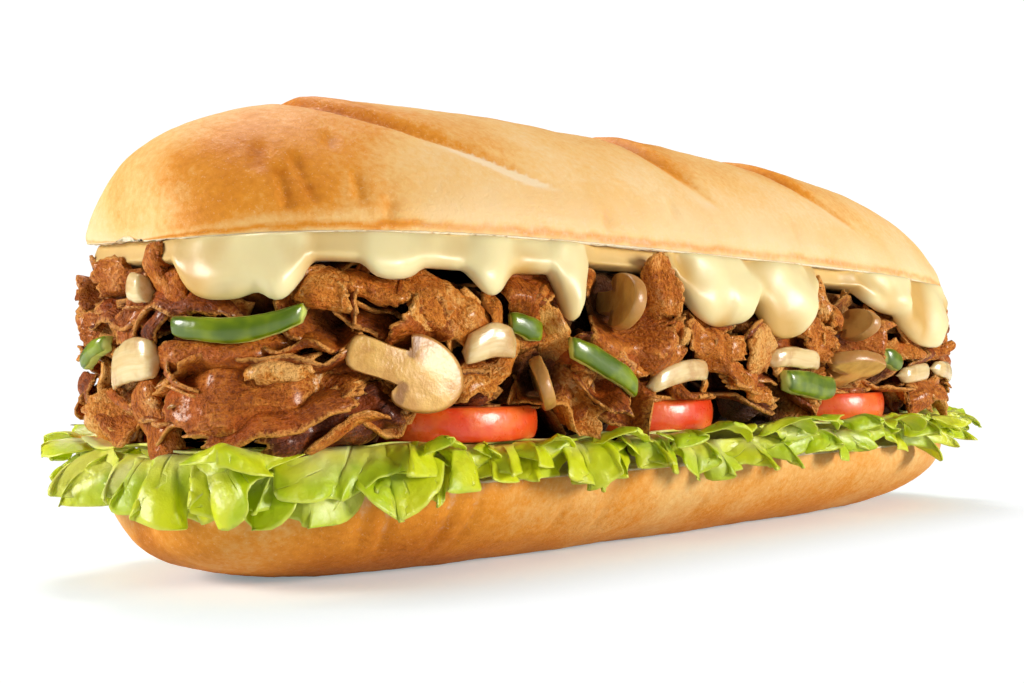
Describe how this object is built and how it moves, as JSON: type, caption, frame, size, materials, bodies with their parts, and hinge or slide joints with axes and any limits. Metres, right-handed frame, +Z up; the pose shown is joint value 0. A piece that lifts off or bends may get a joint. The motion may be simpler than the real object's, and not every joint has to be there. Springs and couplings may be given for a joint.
{
  "type": "submarine sandwich",
  "caption": "Long scored bread roll cut in two and filled with lettuce, tomato, shaved beef, green pepper, mushroom, onion and melted cheese, ready to set on a table.",
  "frame": {"origin": "the middle of the sandwich's bounding box at the height of the surface it rests on, under the middle of the lower half", "axes": "+X runs along the roll, from the end nearest the picture's camera to the far end; -Y is the side that the picture shows; +Z is up"},
  "size_m": [0.2922, 0.1058, 0.1027],
  "materials": {
    "crust": "satin baked crust, golden, with a pale crumb at the cut edge",
    "lettuce": "moist frilled leaf, yellow-green",
    "tomato": "wet red skin and flesh",
    "beef": "glossy browned slices",
    "cheese": "smooth melted cheese, pale yellow",
    "pepper": "glossy green pepper skin with a paler wall",
    "onion": "soft cooked onion, half clear",
    "mushroom": "cooked mushroom, tan cut face with a browner cap line and gills"
  },
  "bodies": {
    "root": {"bun_top": "crust", "bun_bottom": "crust", "lettuce_near_left": "lettuce", "lettuce_near_right": "lettuce", "lettuce_far_right": "lettuce", "lettuce_far_left": "lettuce", "tomato_near_left": "tomato", "tomato_near_middle": "tomato", "tomato_near_right": "tomato", "tomato_far_left": "tomato", "tomato_far_middle": "tomato", "tomato_far_right": "tomato", "tomato_far_end": "tomato", "beef_heap": "beef", "melted_cheese": "cheese", "pepper_long": "pepper", "pepper_slanting": "pepper", "pepper_lens": "pepper", "pepper_tuck_left": "pepper", "pepper_tuck_right": "pepper", "pepper_end": "pepper", "onion_band": "onion", "onion_end": "onion", "onion_tuck": "onion", "onion_flat": "onion", "onion_back": "onion", "onion_tail": "onion", "onion_bit": "onion", "mushroom_cap_left": "mushroom", "mushroom_edge_high": "mushroom", "mushroom_edge_low": "mushroom", "mushroom_cap_right": "mushroom", "mushroom_stem_right": "mushroom", "far_pepper_long": "pepper", "far_pepper_slanting": "pepper", "far_pepper_lens": "pepper", "far_onion_band": "onion", "far_onion_tuck": "onion", "far_onion_flat": "onion", "far_onion_tail": "onion", "far_mushroom_cap_left": "mushroom", "far_mushroom_edge_high": "mushroom", "far_mushroom_cap_right": "mushroom"}
  },
  "joints": []
}
